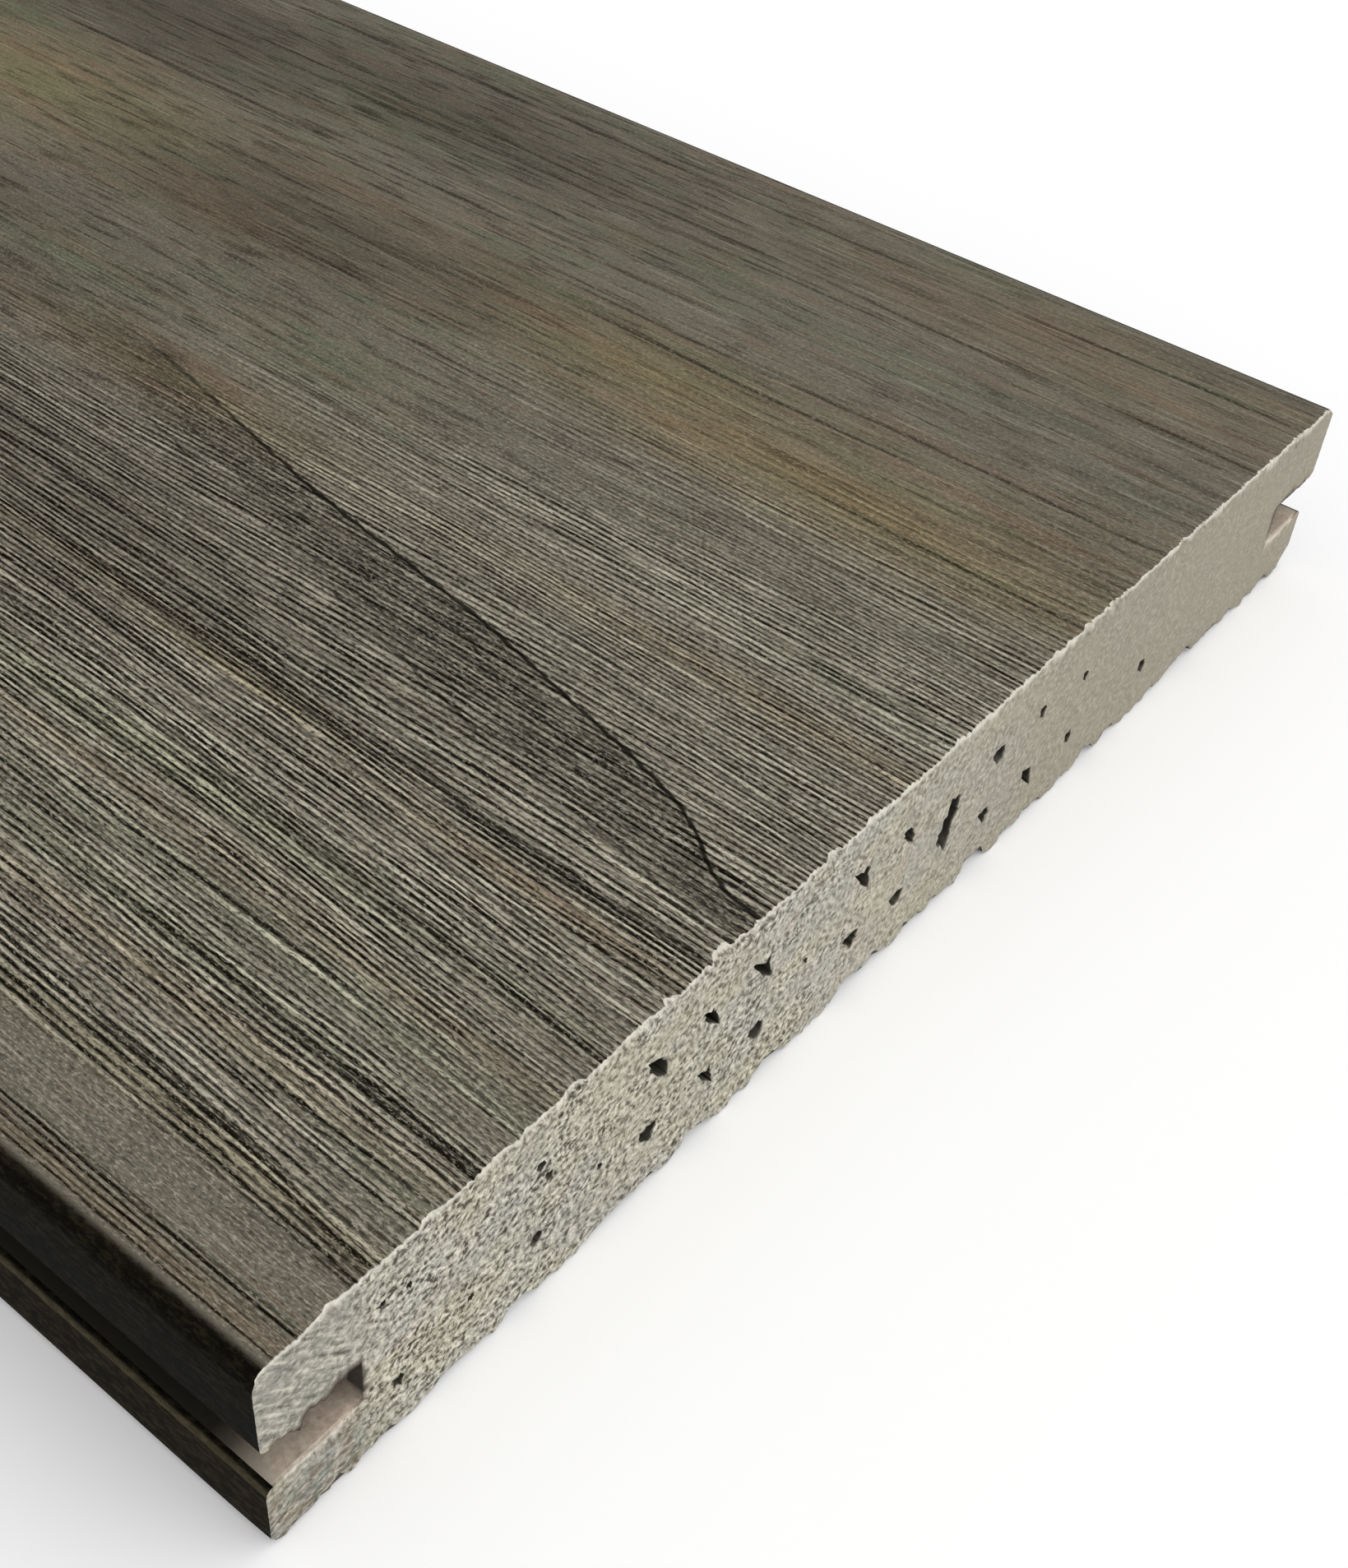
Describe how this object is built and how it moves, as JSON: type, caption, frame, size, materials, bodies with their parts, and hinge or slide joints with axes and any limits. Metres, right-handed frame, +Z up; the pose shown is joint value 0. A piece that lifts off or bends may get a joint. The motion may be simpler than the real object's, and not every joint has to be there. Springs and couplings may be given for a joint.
{
  "type": "decking board",
  "caption": "Capped foam-core decking board with an embossed wood-grain top, a clip groove along each long side and a fluted underside.",
  "frame": {"origin": "middle of the underside, centred along the length and across the width", "axes": "+X along the board's length, +Y across its width, +Z up out of the grained walking face"},
  "size_m": [2.438, 0.184, 0.025],
  "materials": {
    "capped_board": "dark grey-brown wood-grain cap over a pale grey-beige foamed core"
  },
  "bodies": {
    "root": {"deck_board": "capped_board"}
  },
  "joints": []
}
